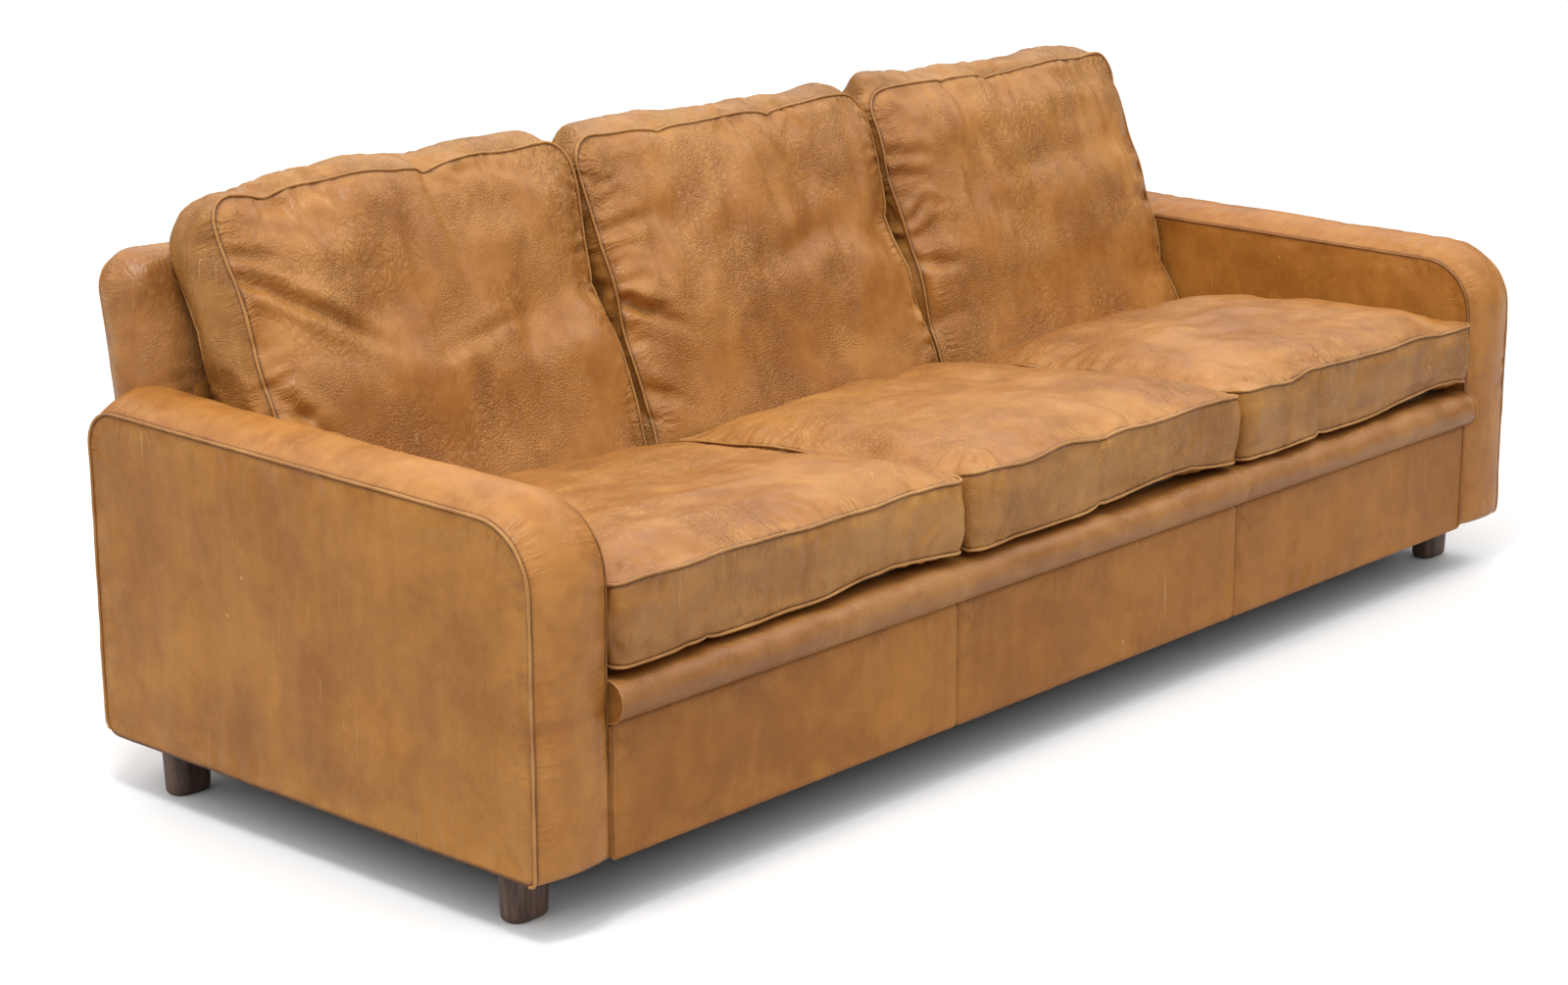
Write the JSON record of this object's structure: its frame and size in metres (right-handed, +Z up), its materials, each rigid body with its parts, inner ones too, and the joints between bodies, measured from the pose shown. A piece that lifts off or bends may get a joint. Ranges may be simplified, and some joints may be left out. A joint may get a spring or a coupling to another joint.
{
  "type": "three-seat leather sofa",
  "caption": "Low leather sofa with boxy crowned arms, a padded back panel, piped loose seat and back cushions, a stuffed front roll and short oval wooden feet.",
  "frame": {"origin": "on the floor, in the middle of the overall width and depth", "axes": "+X along the sofa towards its right arm as seen from the front, +Y towards the back, +Z up; the sitter faces -Y"},
  "size_m": [2.1, 0.8612, 0.76],
  "materials": {
    "sofa_leather": "waxed aniline leather with a mottled patina",
    "cushion_leather": "soft waxed aniline leather, worn paler on the tops",
    "foot_wood": "dark stained hardwood, satin",
    "frame_wood": "sawn beech",
    "foam": "upholstery foam",
    "cushion_filling": "foam core in a feather-filled ticking",
    "deck_cloth": "brown cotton platform cloth",
    "dust_cloth": "black non-woven cambric",
    "webbing": "rubberised elastic webbing",
    "steel": "zinc-plated bolts"
  },
  "bodies": {
    "sofa_base": {"arm_leather_left": "sofa_leather", "arm_padding_left": "foam", "arm_bottom_rail_left": "frame_wood", "arm_top_rail_left": "frame_wood", "arm_front_post_left": "frame_wood", "arm_rear_post_left": "frame_wood", "arm_bolt_front_left": "steel", "foot_front_left": "foot_wood", "foot_bolt_front_left": "steel", "arm_bolt_rear_left": "steel", "foot_rear_left": "foot_wood", "foot_bolt_rear_left": "steel", "arm_leather_right": "sofa_leather", "arm_padding_right": "foam", "arm_bottom_rail_right": "frame_wood", "arm_top_rail_right": "frame_wood", "arm_front_post_right": "frame_wood", "arm_rear_post_right": "frame_wood", "arm_bolt_front_right": "steel", "foot_front_right": "foot_wood", "foot_bolt_front_right": "steel", "arm_bolt_rear_right": "steel", "foot_rear_right": "foot_wood", "foot_bolt_rear_right": "steel", "dust_cloth": "dust_cloth", "seat_front_rail": "frame_wood", "seat_rear_rail": "frame_wood", "seat_side_rail_left": "frame_wood", "seat_side_rail_right": "frame_wood", "seat_centre_brace": "frame_wood", "webbing_strap_1": "webbing", "webbing_strap_2": "webbing", "webbing_strap_3": "webbing", "webbing_strap_4": "webbing", "webbing_strap_5": "webbing", "webbing_strap_6": "webbing", "deck_padding": "foam", "deck_cloth": "deck_cloth", "front_roll": "sofa_leather", "apron_panel_left": "sofa_leather", "apron_panel_middle": "sofa_leather", "apron_panel_right": "sofa_leather", "back_leather": "sofa_leather", "back_padding": "foam", "back_top_rail": "frame_wood", "back_upright_left": "frame_wood", "back_upright_centre": "frame_wood", "back_upright_right": "frame_wood"},
    "seat_cushion_left": {"seat_cushion_left_cover": "cushion_leather", "seat_cushion_left_filling": "cushion_filling"},
    "back_cushion_left": {"back_cushion_left_cover": "cushion_leather", "back_cushion_left_filling": "cushion_filling"},
    "seat_cushion_middle": {"seat_cushion_middle_cover": "cushion_leather", "seat_cushion_middle_filling": "cushion_filling"},
    "back_cushion_middle": {"back_cushion_middle_cover": "cushion_leather", "back_cushion_middle_filling": "cushion_filling"},
    "seat_cushion_right": {"seat_cushion_right_cover": "cushion_leather", "seat_cushion_right_filling": "cushion_filling"},
    "back_cushion_right": {"back_cushion_right_cover": "cushion_leather", "back_cushion_right_filling": "cushion_filling"}
  },
  "joints": [
    {"name": "seat_cushion_left_lift", "type": "slide", "parent": "sofa_base", "child": "seat_cushion_left", "axis": [0, 0, 1], "range_m": [0, 0.45]},
    {"name": "seat_cushion_middle_lift", "type": "slide", "parent": "sofa_base", "child": "seat_cushion_middle", "axis": [0, 0, 1], "range_m": [0, 0.45]},
    {"name": "seat_cushion_right_lift", "type": "slide", "parent": "sofa_base", "child": "seat_cushion_right", "axis": [0, 0, 1], "range_m": [0, 0.45]},
    {"name": "back_cushion_left_pull", "type": "slide", "parent": "sofa_base", "child": "back_cushion_left", "axis": [0, 0.3584, 0.9336], "range_m": [0, 0.5]},
    {"name": "back_cushion_middle_pull", "type": "slide", "parent": "sofa_base", "child": "back_cushion_middle", "axis": [0, 0.3584, 0.9336], "range_m": [0, 0.5]},
    {"name": "back_cushion_right_pull", "type": "slide", "parent": "sofa_base", "child": "back_cushion_right", "axis": [0, 0.3584, 0.9336], "range_m": [0, 0.5]}
  ]
}
